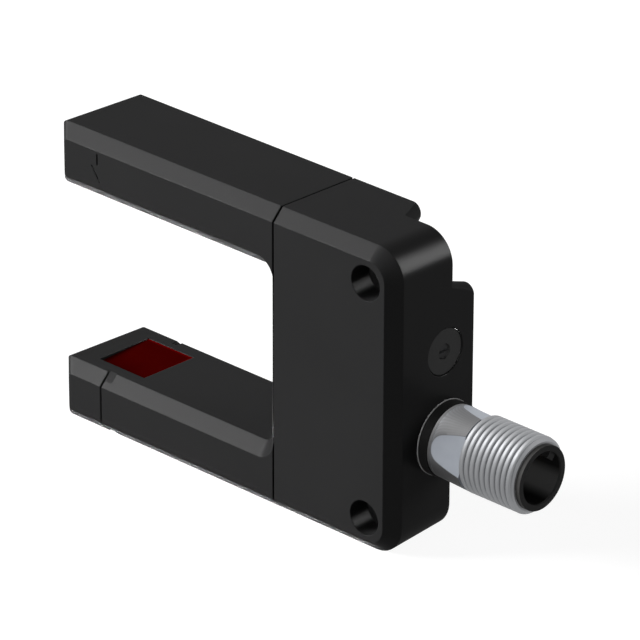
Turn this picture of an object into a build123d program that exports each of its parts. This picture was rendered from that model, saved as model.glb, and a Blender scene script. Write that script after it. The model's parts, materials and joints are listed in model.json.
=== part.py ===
from build123d import *
import math
import os

# Photoelectric fork sensor with a round plug connector
#
# Frame in millimetres: the origin is the middle of the two mounting holes on the front
# face, +X points to the connector, +Y to the back and +Z up. The arms point to -X.
# The upper arm sends light down across the gap and the lower arm receives it.

os.makedirs("parts", exist_ok=True)

# Housing
HEIGHT = 50.0
DEPTH = 17.4
BODY_LENGTH = 24.05
ARM_LENGTH = 45.35
ARM_HEIGHT = 10.25
CHAMFER = 2.0
DRAFT = 2.5
TIP_DRAFT = 1.5
CORNER_RADIUS = 5.0
THROAT_RADIUS = 1.4
TIP_RADIUS = 1.0
CONE_DEPTH = 3.2
SEAM_BEVEL = 0.2
WALL = 2.0

# Counterbored mounting holes and the pockets behind them
HOLE_FROM_TOP = 5.75
HOLE_FROM_RIGHT = 5.65
HOLE_RADIUS = 1.7
COUNTERBORE_RADIUS = 2.8
COUNTERBORE_DEPTH = 3.8
POCKET_RADIUS = 5.8
POCKET_DEPTH = 4.8
POCKET_ROUND = 1.6
POCKET_TAPER = 19.5
POCKET_MARGIN = 0.02

# Positions that follow from the sizes above
TOP = HEIGHT / 2
RIGHT = HOLE_FROM_RIGHT
SEAM = RIGHT - BODY_LENGTH
TIP = SEAM - ARM_LENGTH
THROAT = SEAM - CHAMFER
ARM_INNER = TOP - ARM_HEIGHT
FOOT = ARM_INNER - THROAT_RADIUS
HOLE_HEIGHT = TOP - HOLE_FROM_TOP
HOLE_PITCH = 2 * HOLE_HEIGHT
PLUG_FROM_HOLE = 11.25
PLUG_Z = PLUG_FROM_HOLE - HOLE_HEIGHT
DRAFT_SLOPE = math.tan(math.radians(DRAFT))
BIG = 100.0

# Inside of the arms
ARM_CAVITY_FROM_TOP = 8.0
ARM_CAVITY_LOW = TOP - ARM_CAVITY_FROM_TOP
ARM_CAVITY_HIGH = TOP - 2.0
ARM_CAVITY_FRONT = 1.8
ARM_CAVITY_BACK = DEPTH - 1.8
ARM_CAVITY_ROUND = 0.25
ARM_END_WALL = 1.9
TENON_LENGTH = 3.0
TENON_WALL = 1.0
TENON_PASSAGE_ROUND = 0.5
SLIP = 0.05
ARM_CAVITY_MIDDLE = (ARM_CAVITY_LOW + ARM_CAVITY_HIGH) / 2
ARM_CAVITY_TALL = ARM_CAVITY_HIGH - ARM_CAVITY_LOW
ARM_CAVITY_WIDE = ARM_CAVITY_BACK - ARM_CAVITY_FRONT
ARM_CAVITY_CENTRE = (ARM_CAVITY_BACK + ARM_CAVITY_FRONT) / 2

# Inside of the body
INNER_LEFT = SEAM + WALL
INNER_RIGHT = RIGHT - WALL
FRONT_WALL = 2.2
INNER_TOP = TOP - 2.5
INNER_MIDDLE_TOP = HOLE_HEIGHT - POCKET_RADIUS - 1.2
WING_RIGHT = -POCKET_RADIUS - 2.1
INNER_ROUND = 0.8
COVER_THICK = 1.6
COVER_LEDGE = 0.9
COVER_MIDDLE_TOP = INNER_MIDDLE_TOP + 0.3

# Windows and optics, on an axis that crosses the gap
OPTIC_FROM_TIP = 9.5
OPTIC_X = TIP + OPTIC_FROM_TIP
OPTIC_Y = DEPTH / 2 + 0.8
WINDOW_LENGTH = 9.75
WINDOW_MARGINS = 6.5
WINDOW_WIDTH = DEPTH - WINDOW_MARGINS
WINDOW_THICK = 0.8
WINDOW_FACE = ARM_INNER + 0.65
WINDOW_LEDGE = 0.9
HOLDER_LENGTH = 10.4
HOLDER_WIDTH = WINDOW_WIDTH - 0.1
HOLDER_HEIGHT = 4.2
HOLDER_ROUND = 0.6
APERTURE_RADIUS = 2.8
APERTURE_THICK = 0.5
LENS_RADIUS = 3.4
LENS_EDGE = 0.8
LENS_DOME = 0.9
OPTIC_BOARD_THICK = 0.8
OPTIC_BOARD_LENGTH = 15.0
OPTIC_BOARD_WIDTH = ARM_CAVITY_WIDE - 1.8
OPTIC_BOARD_ROUND = 0.5
DIODE_SIZE = 3.0
DIODE_TALL = 1.1
DIODE_WELL_RADIUS = 1.0
DIODE_WELL_DEPTH = 0.4
FLEX_WIDTH = 4.0
FLEX_THICK = 0.3
FLEX_FROM_OPTIC = 6.25
FLEX_START = OPTIC_X + FLEX_FROM_OPTIC
SOCKET_LENGTH = 3.0
SOCKET_WIDTH = 5.4
SOCKET_TALL = 1.2
SOCKET_BEVEL = 0.3
LENS_SEAT = ARM_CAVITY_LOW + APERTURE_THICK
LENS_BALL = (LENS_RADIUS**2 + LENS_DOME**2) / (2 * LENS_DOME)
LENS_SPREAD = math.degrees(math.asin(LENS_RADIUS / LENS_BALL))
LENS_TOP = LENS_SEAT + LENS_EDGE + LENS_DOME
OPTIC_BOARD_FACE = ARM_CAVITY_LOW + HOLDER_HEIGHT

# Tip cap of the lower arm, with small notches in the arm at its seam
CAP_LENGTH = 8.95
CAP_SEAM = TIP + CAP_LENGTH
NOTCH_LENGTH = 1.55
NOTCH_DEPTH = 0.25
NOTCH_REACH = 1.2
RAMP_LENGTH = 1.1
RAMP_DEPTH = 0.35

# Engraved mark on the front of the upper arm
MARK_WIDTH = 0.3
MARK_DEPTH = 0.25
MARK_UPRIGHT_CENTRE = (OPTIC_X - 0.45, TOP - 3.4)
MARK_UPRIGHT_LENGTH = 1.85
MARK_SLANT_CENTRE = (OPTIC_X - 0.8, TOP - 5.85)
MARK_SLANT_LENGTH = 3.0
MARK_SLANT_ANGLE = 35.0

# Adjuster in the right face, turned through a trimmer behind the wall
ADJUSTER_Y = DEPTH - 6.2
ADJUSTER_Z = 6.0
DISC_RADIUS = 3.7
DISC_THICK = 1.3
DISC_SUNK = 0.15
DISC_GAP = 0.12
EDGE_BEVEL = 0.1
ROTOR_RADIUS = 1.2
RUNNING = 0.05
ROTOR_SUNK = 0.25
SLOT_LENGTH = 1.9
SLOT_WIDTH = 0.45
SLOT_DEPTH = 0.7
SEAL_HOLE_RADIUS = 2.4
TRIMMER_FROM_RIGHT = 9.0
TRIMMER_LEFT = RIGHT - TRIMMER_FROM_RIGHT
TRIMMER_LENGTH = 6.4
TRIMMER_SIZE = 6.6
TRIMMER_COVER = 0.6
TRIMMER_FLOOR = 4.0
WIPER_RADIUS = 2.6
WIPER_THICK = 0.8

# Main board, just in front of the trimmer
BOARD_THICK = 1.2
BOARD_BACK = ADJUSTER_Y - TRIMMER_SIZE / 2 - 0.1
BOARD_FRONT = BOARD_BACK - BOARD_THICK
BOARD_LEFT = INNER_LEFT + 0.5
BOARD_RIGHT = INNER_RIGHT - 0.8
BOARD_TOP = INNER_TOP - 0.7
BOARD_MIDDLE_TOP = INNER_MIDDLE_TOP - 0.8
BOARD_WING_RIGHT = WING_RIGHT - 0.8
BOARD_PLUG_RIGHT = RIGHT - 5.2
BOARD_STEP = PLUG_Z + 5.6
POST_RADIUS = 1.6
PEG_RADIUS = 0.8
PEG_END = 0.4
POST_LEFT = INNER_LEFT + 2.8
POST_MIDDLE = BOARD_WING_RIGHT + 1.1
POST_UPPER = BOARD_WING_RIGHT - 2.8
POST_PLACES = [
    (POST_LEFT, 8.0),
    (POST_LEFT, -8.0),
    (POST_MIDDLE, BOARD_MIDDLE_TOP - 2.0),
    (POST_MIDDLE, -BOARD_MIDDLE_TOP + 2.0),
    (POST_UPPER, BOARD_TOP - 4.9),
    (POST_UPPER, -BOARD_TOP + 4.9),
]
CHIP_SIZE = 7.0
CHIP_TALL = 1.2
CHIP_BEVEL = 0.2
CHIP_CENTRE = (BOARD_LEFT + 5.5, 0.0)
FLEX_Y = BOARD_BACK + 2.8
SOCKET_LEFT = BOARD_LEFT + 0.3

# Connector, measured outwards from the right face
PLUG_Y = DEPTH - 6.2
GASKET_RADIUS = 6.0
GASKET_THICK = 0.15
COLLAR_RADIUS = 5.9
COLLAR_LENGTH = 1.75
STEM_RADIUS = 4.1
STEM_END = -2.6
GROOVE_START = 0.6
GROOVE_WIDTH = 0.8
GROOVE_DEPTH = 0.3
SEAL_OUTER_RADIUS = 5.35
SEAL_THICK = 0.9
NECK_START_RADIUS = 5.69
NECK_END_RADIUS = 5.95
NECK_END = 7.7
RELIEF_RADIUS = 5.15
SCOOP_ANGLES = [64.0, 166.0, 295.0]
SCOOP_CURVE = [(2.3, 5.72), (2.6, 5.58), (3.3, 5.4), (4.7, 5.25), (6.1, 5.11), (8.0, 4.97)]
THREAD_START = 8.2
THREAD_END = 18.3
THREAD_RADIUS = 6.0
THREAD_DEPTH = 0.6
CARRIER_RADIUS = 4.75
CARRIER_LIP_RADIUS = 5.1
CARRIER_END = 19.1
CARRIER_BORE_RADIUS = 4.2
CARRIER_FLOOR = 9.5
CARRIER_STEP = 8.6
CARRIER_BACK = -3.0
CARRIER_BACK_RADIUS = 3.4
SLEEVE_BACK_RADIUS = 3.45
PIN_CIRCLE_RADIUS = 2.5
PIN_RADIUS = 0.5
PIN_START_ANGLE = 45.0
PIN_ROUND = 0.3
PIN_TIP = 14.0
PIN_TAIL = -4.4
KEY_ANGLE = 50.0
KEY_WIDTH = 1.4
KEY_TALL = 1.4
KEY_MIDDLE_RADIUS = 3.7
KEY_SUNK = 0.3
WIRE_RADIUS = 0.35
WIRE_BEND = 0.75
WIRE_REACH = 1.6
WIRE_STEP = 1.8


# Blank of the whole fork, from which the body, arms and cap are cut
# The sketch plane lies on the front face, and its normal points to the back
FRONT = Plane(origin=(0, 0, 0), x_dir=(1, 0, 0), z_dir=(0, 1, 0))


def fork_outline(inset):
    """Fork outline with sharp corners, moved inwards by inset, on the front plane."""
    top = TOP - inset
    inner = ARM_INNER + inset
    tip = TIP + inset
    throat = THROAT + inset
    right = RIGHT - inset
    with BuildSketch(FRONT) as outline:
        with BuildLine():
            Polyline(
                (right, top),
                (tip, top),
                (tip, inner),
                (throat, inner),
                (throat, -inner),
                (tip, -inner),
                (tip, -top),
                (right, -top),
                close=True,
            )
        make_face()
    return outline.sketch


# Walls lean inwards by the draft towards the back, only the right face is square
sharp_outline = fork_outline(0)
with BuildPart() as fork_prism:
    extrude(sharp_outline, amount=DEPTH)
    walls = fork_prism.faces().filter_by(lambda f: f.bounding_box().size.Y > 1)
    draft(walls.filter_by(lambda f: TIP + 1 < f.center().X < RIGHT - 1), FRONT.offset(CHAMFER), DRAFT)
    tip_walls = fork_prism.faces().filter_by(lambda f: f.center().X < TIP + 1)
    draft(tip_walls, FRONT.offset(CHAMFER), TIP_DRAFT)
    depth_edges = fork_prism.edges().filter_by(lambda e: abs(e.tangent_at(0).Y) > 0.9)
    fillet(depth_edges.filter_by(lambda e: e.center().X < TIP + 1), TIP_RADIUS)
    depth_edges = fork_prism.edges().filter_by(lambda e: abs(e.tangent_at(0).Y) > 0.9)
    fillet(depth_edges.filter_by(lambda e: abs(e.center().X - THROAT) < 1), THROAT_RADIUS)
    depth_edges = fork_prism.edges().filter_by(lambda e: abs(e.tangent_at(0).Y) > 0.9)
    fillet(depth_edges.filter_by(lambda e: e.center().X > RIGHT - 1), CORNER_RADIUS)

# A shape that widens at 45 degrees from the front face makes every front chamfer
inset_outline = fork_outline(CHAMFER)
with BuildPart() as front_cone:
    extrude(inset_outline, amount=CONE_DEPTH)
    depth_edges = front_cone.edges().filter_by(Axis.Y)
    fillet(depth_edges.filter_by(lambda e: abs(e.center().X - SEAM) < 0.1), THROAT_RADIUS + CHAMFER)
    depth_edges = front_cone.edges().filter_by(Axis.Y)
    fillet(depth_edges.filter_by(lambda e: e.center().X > RIGHT - CHAMFER - 0.1), CORNER_RADIUS - CHAMFER)
    side_faces = front_cone.faces().filter_by(lambda f: f.bounding_box().size.Y > 1)
    draft(side_faces, FRONT, -45)
    mitre_edges = front_cone.edges().filter_by(lambda e: 0.3 < abs(e.tangent_at(0).Y) < 0.9)
    fillet(mitre_edges.filter_by(lambda e: e.center().X < TIP + CHAMFER), TIP_RADIUS)

with BuildPart() as fork_blank:
    add(front_cone.part)
    with BuildSketch(FRONT.offset(CONE_DEPTH)):
        Rectangle(3 * BIG, BIG)
    extrude(amount=DEPTH - CONE_DEPTH)
    add(fork_prism.part, mode=Mode.INTERSECT)

# Thin V groove where two mouldings meet, made by a bevel round both ends
def seam_edges(part, x, skipped):
    """Outer edges of the flat ends at x, without the edges that pass the test skipped."""
    end_edges = part.edges().filter_by_position(Axis.X, x - 0.001, x + 0.001)
    return end_edges.filter_by(lambda e: not skipped(e.center()))


def in_throat(centre):
    return abs(centre.Z) < FOOT + 0.01


# Pockets behind the mounting holes cut the rear corners away and leave rounded shoulders
POCKET_TOP = TOP - (DEPTH - CHAMFER) * DRAFT_SLOPE + POCKET_MARGIN
POCKET_RIGHT = RIGHT + POCKET_MARGIN
with BuildSketch(Plane.XZ.offset(-DEPTH)) as pocket_outline:
    with Locations((0, HOLE_HEIGHT)):
        Circle(POCKET_RADIUS)
    with BuildLine():
        Polyline(
            (POCKET_RIGHT, 0),
            (POCKET_RIGHT, HOLE_HEIGHT),
            (0, HOLE_HEIGHT),
            (0, POCKET_TOP),
            (-3 * POCKET_RADIUS, POCKET_TOP),
            (-3 * POCKET_RADIUS, HEIGHT),
            (HEIGHT, HEIGHT),
            (HEIGHT, 0),
            close=True,
        )
    make_face()
    shoulders = pocket_outline.vertices().filter_by(
        lambda v: abs(v.X - POCKET_RIGHT) < 0.01 and 0 < v.Y < HOLE_HEIGHT
        or abs(v.Y - POCKET_TOP) < 0.01 and -POCKET_RADIUS < v.X < 0
    )
    fillet(shoulders, POCKET_ROUND)
with BuildPart() as corner_pocket:
    extrude(pocket_outline.sketch, amount=POCKET_DEPTH, taper=POCKET_TAPER)


# Body housing
def inner_outline(grow, middle_top):
    """Outline of the body's hollow: tall beside the arms, lower between the corner pockets."""
    with BuildSketch(Plane.XZ.offset(-DEPTH)) as outline:
        with BuildLine():
            Polyline(
                (INNER_LEFT - grow, INNER_TOP + grow),
                (WING_RIGHT + grow, INNER_TOP + grow),
                (WING_RIGHT + grow, middle_top),
                (INNER_RIGHT + grow, middle_top),
                (INNER_RIGHT + grow, -middle_top),
                (WING_RIGHT + grow, -middle_top),
                (WING_RIGHT + grow, -INNER_TOP - grow),
                (INNER_LEFT - grow, -INNER_TOP - grow),
                close=True,
            )
        make_face()
        fillet(outline.vertices(), INNER_ROUND)
    return outline.sketch


PLUG_PLANE = Plane(origin=(RIGHT, PLUG_Y, PLUG_Z), x_dir=(0, 1, 0), z_dir=(1, 0, 0))
ADJUSTER_PLANE = Plane(origin=(RIGHT, ADJUSTER_Y, ADJUSTER_Z), x_dir=(0, 1, 0), z_dir=(1, 0, 0))
DISC_BACK = DISC_SUNK + DISC_THICK

with BuildPart() as body_housing:
    add(fork_blank.part)
    with BuildSketch(FRONT):
        with GridLocations(0, HEIGHT + 2 * FOOT, 1, 2):
            with Locations((SEAM, 0)):
                Rectangle(BIG, HEIGHT, align=(Align.MAX, Align.CENTER))
    extrude(amount=DEPTH, mode=Mode.SUBTRACT)
    chamfer(seam_edges(body_housing, SEAM, in_throat), SEAM_BEVEL)

    # Rear pockets, mounting holes and the hollow behind the front wall
    add(corner_pocket.part, mode=Mode.SUBTRACT)
    mirror(corner_pocket.part, about=Plane.XY, mode=Mode.SUBTRACT)
    with Locations(Plane.XZ):
        with GridLocations(0, HOLE_PITCH, 1, 2):
            CounterBoreHole(HOLE_RADIUS, COUNTERBORE_RADIUS, COUNTERBORE_DEPTH, DEPTH)
    extrude(inner_outline(0, INNER_MIDDLE_TOP), amount=DEPTH - FRONT_WALL, mode=Mode.SUBTRACT)
    extrude(inner_outline(COVER_LEDGE, COVER_MIDDLE_TOP), amount=COVER_THICK, mode=Mode.SUBTRACT)

    # Posts with pegs carry the main board
    with BuildSketch(Plane.XZ.offset(-BOARD_FRONT)):
        with Locations(*POST_PLACES):
            Circle(POST_RADIUS)
    extrude(amount=BOARD_FRONT - FRONT_WALL)
    with BuildSketch(Plane.XZ.offset(-BOARD_BACK - PEG_END)):
        with Locations(*POST_PLACES):
            Circle(PEG_RADIUS)
    extrude(amount=BOARD_THICK + PEG_END)

    # Tenons for the arms, each with a passage for the flat lead
    for side in (1, -1):
        with BuildSketch(Plane.YZ.offset(SEAM)):
            with Locations((ARM_CAVITY_CENTRE, side * ARM_CAVITY_MIDDLE)):
                RectangleRounded(ARM_CAVITY_WIDE - 2 * SLIP, ARM_CAVITY_TALL - 2 * SLIP, ARM_CAVITY_ROUND)
        extrude(amount=-TENON_LENGTH)
        with BuildSketch(Plane.YZ.offset(INNER_LEFT)):
            with Locations((ARM_CAVITY_CENTRE, side * ARM_CAVITY_MIDDLE)):
                RectangleRounded(
                    ARM_CAVITY_WIDE - 2 * TENON_WALL,
                    ARM_CAVITY_TALL - 2 * TENON_WALL,
                    TENON_PASSAGE_ROUND,
                )
        extrude(amount=-WALL - TENON_LENGTH, mode=Mode.SUBTRACT)

    # Stepped hole for the adjuster disc and its seal
    with BuildSketch(ADJUSTER_PLANE):
        Circle(DISC_RADIUS + DISC_GAP)
    extrude(amount=-DISC_BACK, mode=Mode.SUBTRACT)
    with BuildSketch(ADJUSTER_PLANE):
        Circle(SEAL_HOLE_RADIUS)
    extrude(amount=-WALL, mode=Mode.SUBTRACT)

    # The connector stem is moulded into the wall, which fills the groove round it
    with BuildSketch(PLUG_PLANE):
        Circle(STEM_RADIUS)
    extrude(amount=STEM_END, mode=Mode.SUBTRACT)
    with BuildSketch(PLUG_PLANE.offset(-GROOVE_START)):
        Circle(STEM_RADIUS)
        Circle(STEM_RADIUS - GROOVE_DEPTH, mode=Mode.SUBTRACT)
    extrude(amount=-GROOVE_WIDTH)
body_housing.part.label = "body_housing"
export_step(body_housing.part, "parts/body_housing.step")

# Back cover, flush in the rebate round the hollow
rebate_outline = inner_outline(COVER_LEDGE, COVER_MIDDLE_TOP)
with BuildPart() as back_cover:
    extrude(offset(rebate_outline, -SLIP, mode=Mode.PRIVATE), amount=COVER_THICK)
back_cover.part.label = "back_cover"
export_step(back_cover.part, "parts/back_cover.step")


# Arms
# The hollow of an arm, with the window seat and the light passage through its inner wall
with BuildPart() as arm_hollow:
    with BuildSketch(Plane.YZ.offset(SEAM)):
        with Locations((ARM_CAVITY_CENTRE, ARM_CAVITY_MIDDLE)):
            RectangleRounded(ARM_CAVITY_WIDE, ARM_CAVITY_TALL, ARM_CAVITY_ROUND)
    extrude(amount=-(ARM_LENGTH - ARM_END_WALL))
    with BuildSketch(Plane.XY.offset(WINDOW_FACE + WINDOW_THICK)):
        with Locations((OPTIC_X, OPTIC_Y)):
            Rectangle(WINDOW_LENGTH, WINDOW_WIDTH)
    extrude(amount=-2 * WINDOW_THICK)
    with BuildSketch(Plane.XY.offset(ARM_CAVITY_MIDDLE)):
        with Locations((OPTIC_X, OPTIC_Y)):
            Rectangle(WINDOW_LENGTH - 2 * WINDOW_LEDGE, WINDOW_WIDTH - 2 * WINDOW_LEDGE)
    extrude(amount=WINDOW_FACE - ARM_CAVITY_MIDDLE)

# Upper arm before it is hollowed, and its mirror image for the lower arm
with BuildPart() as arm_blank:
    add(fork_blank.part)
    with BuildSketch(Plane.XZ.offset(-DEPTH)):
        with Locations((SEAM, FOOT)):
            Rectangle(BIG, HEIGHT, align=(Align.MAX, Align.MIN))
    extrude(amount=DEPTH, mode=Mode.INTERSECT)
    chamfer(seam_edges(arm_blank, SEAM, in_throat), SEAM_BEVEL)

with BuildPart() as upper_arm:
    add(arm_blank.part)
    add(arm_hollow.part, mode=Mode.SUBTRACT)
    # Engraved mark at the height of the light axis
    with BuildSketch(Plane.XZ):
        with Locations(MARK_UPRIGHT_CENTRE):
            Rectangle(MARK_WIDTH, MARK_UPRIGHT_LENGTH)
        with Locations(MARK_SLANT_CENTRE):
            Rectangle(MARK_WIDTH, MARK_SLANT_LENGTH, rotation=MARK_SLANT_ANGLE)
    extrude(amount=-MARK_DEPTH, mode=Mode.SUBTRACT)
upper_arm.part.label = "upper_arm"
export_step(upper_arm.part, "parts/upper_arm.step")

# The tip cap takes the front, bottom, back and end walls of the lower arm's tip
# The arm keeps the plate round the window, up to the front chamfer
with BuildPart() as cap_region:
    with BuildSketch(Plane.YZ.offset(CAP_SEAM)):
        with BuildLine():
            Polyline(
                (-1, 0),
                (CHAMFER, 0),
                (CHAMFER, -ARM_CAVITY_LOW),
                (DEPTH + 1, -ARM_CAVITY_LOW),
                (DEPTH + 1, -HEIGHT),
                (-1, -HEIGHT),
                close=True,
            )
        make_face()
    extrude(amount=-HEIGHT)


def on_plate(centre):
    return abs(centre.Y - CHAMFER) < 0.01 or abs(centre.Z + ARM_CAVITY_LOW) < 0.01


PLATE_BACK_TOP = -ARM_INNER - (DEPTH - CHAMFER) * DRAFT_SLOPE
with BuildPart() as lower_arm:
    mirror(arm_blank.part, about=Plane.XY)
    add(cap_region.part, mode=Mode.SUBTRACT)
    chamfer(seam_edges(lower_arm, CAP_SEAM, on_plate), SEAM_BEVEL)
    mirror(arm_hollow.part, about=Plane.XY, mode=Mode.SUBTRACT)
    # Shallow notches in the two front chamfers and a small ramp in the upper back edge
    with BuildSketch(Plane.YZ.offset(CAP_SEAM)):
        for side, edge in ((1, -ARM_INNER), (-1, -TOP)):
            with BuildLine():
                Polyline(
                    (CHAMFER - NOTCH_REACH, edge - side * NOTCH_REACH),
                    (CHAMFER - NOTCH_REACH, edge + side),
                    (CHAMFER + NOTCH_DEPTH, edge + side),
                    (CHAMFER + NOTCH_DEPTH, edge),
                    close=True,
                )
            make_face()
    extrude(amount=NOTCH_LENGTH, mode=Mode.SUBTRACT)
    with BuildSketch(Plane.XZ.offset(-DEPTH)):
        with BuildLine():
            Polyline(
                (CAP_SEAM - RAMP_LENGTH / 2, PLATE_BACK_TOP),
                (CAP_SEAM + RAMP_LENGTH / 2, PLATE_BACK_TOP - RAMP_DEPTH),
                (CAP_SEAM + RAMP_LENGTH / 2, PLATE_BACK_TOP + 1),
                (CAP_SEAM - RAMP_LENGTH / 2, PLATE_BACK_TOP + 1),
                close=True,
            )
        make_face()
    extrude(amount=NOTCH_REACH, mode=Mode.SUBTRACT)
lower_arm.part.label = "lower_arm"
export_step(lower_arm.part, "parts/lower_arm.step")

with BuildPart() as lower_tip_cap:
    mirror(arm_blank.part, about=Plane.XY)
    add(cap_region.part, mode=Mode.INTERSECT)
    chamfer(seam_edges(lower_tip_cap, CAP_SEAM, on_plate), SEAM_BEVEL)
    mirror(arm_hollow.part, about=Plane.XY, mode=Mode.SUBTRACT)
lower_tip_cap.part.label = "lower_tip_cap"
export_step(lower_tip_cap.part, "parts/lower_tip_cap.step")


# Windows and optics, made for the upper arm and mirrored for the lower one
with BuildPart() as emitter_window:
    with BuildSketch(Plane.XY.offset(WINDOW_FACE)):
        with Locations((OPTIC_X, OPTIC_Y)):
            Rectangle(WINDOW_LENGTH - 2 * SLIP, WINDOW_WIDTH - 2 * SLIP)
    extrude(amount=WINDOW_THICK)
emitter_window.part.label = "emitter_window"

# The holder stands on the cavity floor, its hole narrows to an aperture at the window
with BuildPart() as emitter_holder:
    with BuildSketch(Plane.XY.offset(ARM_CAVITY_LOW)):
        with Locations((OPTIC_X, OPTIC_Y)):
            RectangleRounded(HOLDER_LENGTH, HOLDER_WIDTH, HOLDER_ROUND)
            Circle(APERTURE_RADIUS, mode=Mode.SUBTRACT)
    extrude(amount=HOLDER_HEIGHT)
    with BuildSketch(Plane.XY.offset(LENS_SEAT)):
        with Locations((OPTIC_X, OPTIC_Y)):
            Circle(LENS_RADIUS + SLIP)
    extrude(amount=HOLDER_HEIGHT, mode=Mode.SUBTRACT)
emitter_holder.part.label = "emitter_holder"

# Lens, flat towards the window and domed towards the diode
with BuildPart() as emitter_lens:
    with BuildSketch(Plane.XZ.offset(-OPTIC_Y)):
        with BuildLine():
            Polyline(
                (OPTIC_X, LENS_TOP),
                (OPTIC_X, LENS_SEAT),
                (OPTIC_X + LENS_RADIUS, LENS_SEAT),
                (OPTIC_X + LENS_RADIUS, LENS_SEAT + LENS_EDGE),
            )
            CenterArc((OPTIC_X, LENS_TOP - LENS_BALL), LENS_BALL, 90, -LENS_SPREAD)
        make_face()
    revolve(axis=Axis((OPTIC_X, OPTIC_Y, 0), (0, 0, 1)))
emitter_lens.part.label = "emitter_lens"

with BuildPart() as emitter_board:
    with BuildSketch(Plane.XY.offset(OPTIC_BOARD_FACE)):
        with Locations((OPTIC_X + OPTIC_BOARD_LENGTH / 2 - HOLDER_LENGTH / 2, ARM_CAVITY_CENTRE)):
            RectangleRounded(OPTIC_BOARD_LENGTH, OPTIC_BOARD_WIDTH, OPTIC_BOARD_ROUND)
    extrude(amount=OPTIC_BOARD_THICK)
emitter_board.part.label = "emitter_board"

# Diode chip with a shallow round well in its face
with BuildPart() as emitter_diode:
    with BuildSketch(Plane.XY.offset(OPTIC_BOARD_FACE)):
        with Locations((OPTIC_X, OPTIC_Y)):
            Rectangle(DIODE_SIZE, DIODE_SIZE)
    extrude(amount=-DIODE_TALL)
    with BuildSketch(Plane.XY.offset(OPTIC_BOARD_FACE - DIODE_TALL)):
        with Locations((OPTIC_X, OPTIC_Y)):
            Circle(DIODE_WELL_RADIUS)
    extrude(amount=DIODE_WELL_DEPTH, mode=Mode.SUBTRACT)
emitter_diode.part.label = "emitter_diode"

# Flat lead from the arm's board through the tenon to a socket on the main board
with BuildPart() as emitter_flex:
    with BuildSketch(Plane.XY.offset(OPTIC_BOARD_FACE)):
        with Locations((FLEX_START, FLEX_Y)):
            Rectangle(SOCKET_LEFT - FLEX_START, FLEX_WIDTH, align=(Align.MIN, Align.CENTER))
    extrude(amount=-FLEX_THICK)
emitter_flex.part.label = "emitter_flex"

with BuildPart() as emitter_socket:
    with BuildSketch(Plane.YZ.offset(SOCKET_LEFT)):
        with Locations((BOARD_BACK, OPTIC_BOARD_FACE - FLEX_THICK / 2)):
            Rectangle(SOCKET_WIDTH, SOCKET_TALL, align=(Align.MIN, Align.CENTER))
    extrude(amount=SOCKET_LENGTH)
    chamfer(emitter_socket.edges().group_by(Axis.X)[0].group_by(Axis.Y)[-1], SOCKET_BEVEL)
emitter_socket.part.label = "emitter_socket"

upper_optics = {
    "window": emitter_window,
    "holder": emitter_holder,
    "lens": emitter_lens,
    "board": emitter_board,
    "diode": emitter_diode,
    "flex": emitter_flex,
    "socket": emitter_socket,
}
for piece, upper in upper_optics.items():
    export_step(upper.part, "parts/emitter_" + piece + ".step")
    with BuildPart() as lower:
        mirror(upper.part, about=Plane.XY)
    lower.part.label = "receiver_" + piece
    export_step(lower.part, "parts/receiver_" + piece + ".step")


# Main board on the posts, cut back beside the connector
with BuildPart() as main_board:
    with BuildSketch(Plane.XZ.offset(-BOARD_BACK)):
        with BuildLine():
            Polyline(
                (BOARD_LEFT, BOARD_TOP),
                (BOARD_WING_RIGHT, BOARD_TOP),
                (BOARD_WING_RIGHT, BOARD_MIDDLE_TOP),
                (BOARD_RIGHT, BOARD_MIDDLE_TOP),
                (BOARD_RIGHT, BOARD_STEP),
                (BOARD_PLUG_RIGHT, BOARD_STEP),
                (BOARD_PLUG_RIGHT, -BOARD_MIDDLE_TOP),
                (BOARD_WING_RIGHT, -BOARD_MIDDLE_TOP),
                (BOARD_WING_RIGHT, -BOARD_TOP),
                (BOARD_LEFT, -BOARD_TOP),
                close=True,
            )
        make_face()
        with Locations(*POST_PLACES):
            Circle(PEG_RADIUS + SLIP, mode=Mode.SUBTRACT)
    extrude(amount=BOARD_THICK)
main_board.part.label = "main_board"
export_step(main_board.part, "parts/main_board.step")

with BuildPart() as main_chip:
    with BuildSketch(Plane.XZ.offset(-BOARD_BACK - CHIP_TALL)):
        with Locations(CHIP_CENTRE):
            Rectangle(CHIP_SIZE, CHIP_SIZE)
    extrude(amount=CHIP_TALL)
    chamfer(main_chip.edges().group_by(Axis.Y)[-1], CHIP_BEVEL)
main_chip.part.label = "main_chip"
export_step(main_chip.part, "parts/main_chip.step")


# Trimmer: a cup that holds the rotor's wiper, closed by a cover with a bearing nose
TRIMMER_PLANE = Plane(origin=(TRIMMER_LEFT, ADJUSTER_Y, ADJUSTER_Z), x_dir=(0, 1, 0), z_dir=(1, 0, 0))
with BuildPart() as trimmer_body:
    with BuildSketch(TRIMMER_PLANE):
        Rectangle(TRIMMER_SIZE, TRIMMER_SIZE)
    extrude(amount=TRIMMER_LENGTH - TRIMMER_COVER)
    with BuildSketch(TRIMMER_PLANE.offset(TRIMMER_FLOOR)):
        Circle(WIPER_RADIUS + RUNNING)
    extrude(amount=TRIMMER_LENGTH, mode=Mode.SUBTRACT)
trimmer_body.part.label = "trimmer_body"
export_step(trimmer_body.part, "parts/trimmer_body.step")

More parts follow.
